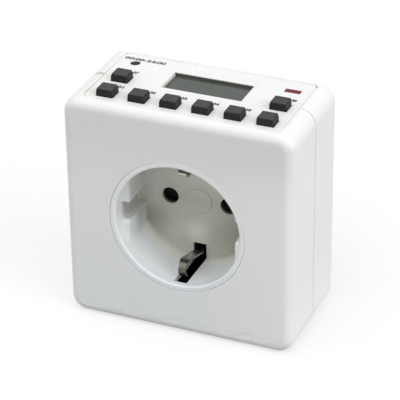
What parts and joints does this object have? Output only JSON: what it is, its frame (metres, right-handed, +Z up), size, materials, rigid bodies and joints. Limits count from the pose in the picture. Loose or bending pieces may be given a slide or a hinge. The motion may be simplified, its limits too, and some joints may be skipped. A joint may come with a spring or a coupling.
{
  "type": "plug-in timer",
  "caption": "Square plug-in digital timer with an earthed round outlet in front, its own plug at the back, and a top panel of keys with a display window.",
  "frame": {"origin": "centre of the case's base face, which it stands on", "axes": "+Z up through the control panel, -Y out of the outlet's front face, +Y along the plug pins"},
  "size_m": [0.0724, 0.0738, 0.0753],
  "materials": {
    "case_plastic": "fine spark-eroded matt, light grey",
    "outlet_plastic": "smooth moulded, light grey",
    "key_plastic": "matt dark grey",
    "screw_steel": "zinc plated",
    "shutter_plastic": "matt black",
    "spring_steel": "drawn wire",
    "carrier_plastic": "thermoset, dark brown",
    "contact_brass": "stamped",
    "clip_metal": "tinned bronze strip",
    "pin_nickel": "nickel plated brass",
    "mat_rubber": "moulded silicone",
    "board_laminate": "green solder mask",
    "display_glass": "smooth, with a matt film",
    "display_frame": "matt black",
    "lamp_lens": "clear dark red",
    "battery_steel": "plain can",
    "chip_epoxy": "moulded epoxy",
    "relay_plastic": "moulded blue",
    "coil_copper": "enamelled wire",
    "relay_iron": "plated iron",
    "capacitor_film": "moulded box",
    "capacitor_can": "sleeved can",
    "varistor_coating": "dipped coating",
    "lead_insulation": "flexible insulation",
    "ribbon_insulation": "flat flexible ribbon"
  },
  "bodies": {
    "timer_body": {"front_housing": "case_plastic", "rear_housing": "case_plastic", "control_panel": "case_plastic", "socket_insert": "outlet_plastic", "case_screws": "screw_steel", "socket_screws": "screw_steel", "carrier_screws": "screw_steel", "control_board_screws": "screw_steel", "shutter_spring": "spring_steel", "contact_carrier": "carrier_plastic", "line_contact": "contact_brass", "neutral_contact": "contact_brass", "earth_bridge": "contact_brass", "earth_post": "contact_brass", "relay_fixed_contact": "contact_brass", "plug_earth_strip": "clip_metal", "plug_pin_line": "pin_nickel", "plug_pin_neutral": "pin_nickel", "keypad_mat": "mat_rubber", "lcd_contact_strips": "mat_rubber", "control_board": "board_laminate", "power_board": "board_laminate", "lcd_glass": "display_glass", "lcd_frame": "display_frame", "indicator_lens": "lamp_lens", "indicator_led": "lamp_lens", "backup_battery": "battery_steel", "quartz_crystal": "battery_steel", "processor_chip": "chip_epoxy", "rectifier": "chip_epoxy", "relay_base": "relay_plastic", "relay_cover": "relay_plastic", "relay_coil": "coil_copper", "relay_yoke": "relay_iron", "dropper_capacitor": "capacitor_film", "smoothing_capacitor": "capacitor_can", "varistor": "varistor_coating", "line_in_wire": "lead_insulation", "line_out_wire": "lead_insulation", "neutral_wire": "lead_insulation", "board_ribbon": "ribbon_insulation"},
    "front_key_1": {"front_key_1": "key_plastic"},
    "front_key_2": {"front_key_2": "key_plastic"},
    "front_key_3": {"front_key_3": "key_plastic"},
    "front_key_4": {"front_key_4": "key_plastic"},
    "front_key_5": {"front_key_5": "key_plastic"},
    "front_key_6": {"front_key_6": "key_plastic"},
    "rear_key_left": {"rear_key_left": "key_plastic"},
    "rear_key_right": {"rear_key_right": "key_plastic"},
    "reset_button": {"reset_button": "key_plastic"},
    "shutter": {"shutter": "shutter_plastic"},
    "earth_clip_lower": {"earth_clip_lower": "clip_metal"},
    "earth_clip_upper": {"earth_clip_upper": "clip_metal"},
    "relay_armature": {"relay_armature": "relay_iron"}
  },
  "joints": [
    {"name": "front_key_1_press", "type": "slide", "parent": "timer_body", "child": "front_key_1", "axis": [0, 0, -1], "range_m": [0, 0.0008], "stiffness_N_per_m": 200, "deforming": ["keypad_mat"]},
    {"name": "front_key_2_press", "type": "slide", "parent": "timer_body", "child": "front_key_2", "axis": [0, 0, -1], "range_m": [0, 0.0008], "stiffness_N_per_m": 200, "deforming": ["keypad_mat"]},
    {"name": "front_key_3_press", "type": "slide", "parent": "timer_body", "child": "front_key_3", "axis": [0, 0, -1], "range_m": [0, 0.0008], "stiffness_N_per_m": 200, "deforming": ["keypad_mat"]},
    {"name": "front_key_4_press", "type": "slide", "parent": "timer_body", "child": "front_key_4", "axis": [0, 0, -1], "range_m": [0, 0.0008], "stiffness_N_per_m": 200, "deforming": ["keypad_mat"]},
    {"name": "front_key_5_press", "type": "slide", "parent": "timer_body", "child": "front_key_5", "axis": [0, 0, -1], "range_m": [0, 0.0008], "stiffness_N_per_m": 200, "deforming": ["keypad_mat"]},
    {"name": "front_key_6_press", "type": "slide", "parent": "timer_body", "child": "front_key_6", "axis": [0, 0, -1], "range_m": [0, 0.0008], "stiffness_N_per_m": 200, "deforming": ["keypad_mat"]},
    {"name": "rear_key_left_press", "type": "slide", "parent": "timer_body", "child": "rear_key_left", "axis": [0, 0, -1], "range_m": [0, 0.0008], "stiffness_N_per_m": 200, "deforming": ["keypad_mat"]},
    {"name": "rear_key_right_press", "type": "slide", "parent": "timer_body", "child": "rear_key_right", "axis": [0, 0, -1], "range_m": [0, 0.0008], "stiffness_N_per_m": 200, "deforming": ["keypad_mat"]},
    {"name": "reset_button_press", "type": "slide", "parent": "timer_body", "child": "reset_button", "axis": [0, 0, -1], "range_m": [0, 0.0008], "stiffness_N_per_m": 200, "deforming": ["keypad_mat"]},
    {"name": "shutter_turn", "type": "hinge", "parent": "timer_body", "child": "shutter", "pos_m": [0, 0.00215, 0.0365], "axis": [0, 1, 0], "range_deg": [0, 38], "stiffness_Nm_per_rad": 0.01},
    {"name": "earth_clip_lower_spring", "type": "hinge", "parent": "timer_body", "child": "earth_clip_lower", "pos_m": [0, 0.00565, 0.0192], "axis": [1, 0, 0], "range_deg": [0, 6], "stiffness_Nm_per_rad": 0.2},
    {"name": "earth_clip_upper_spring", "type": "hinge", "parent": "timer_body", "child": "earth_clip_upper", "pos_m": [0, 0.00565, 0.0538], "axis": [-1, 0, 0], "range_deg": [0, 6], "stiffness_Nm_per_rad": 0.2},
    {"name": "relay_armature_pull", "type": "hinge", "parent": "timer_body", "child": "relay_armature", "pos_m": [-0.02075, 0.00865, 0.01813], "axis": [0, 1, 0], "range_deg": [0, 9], "stiffness_Nm_per_rad": 0.01}
  ]
}
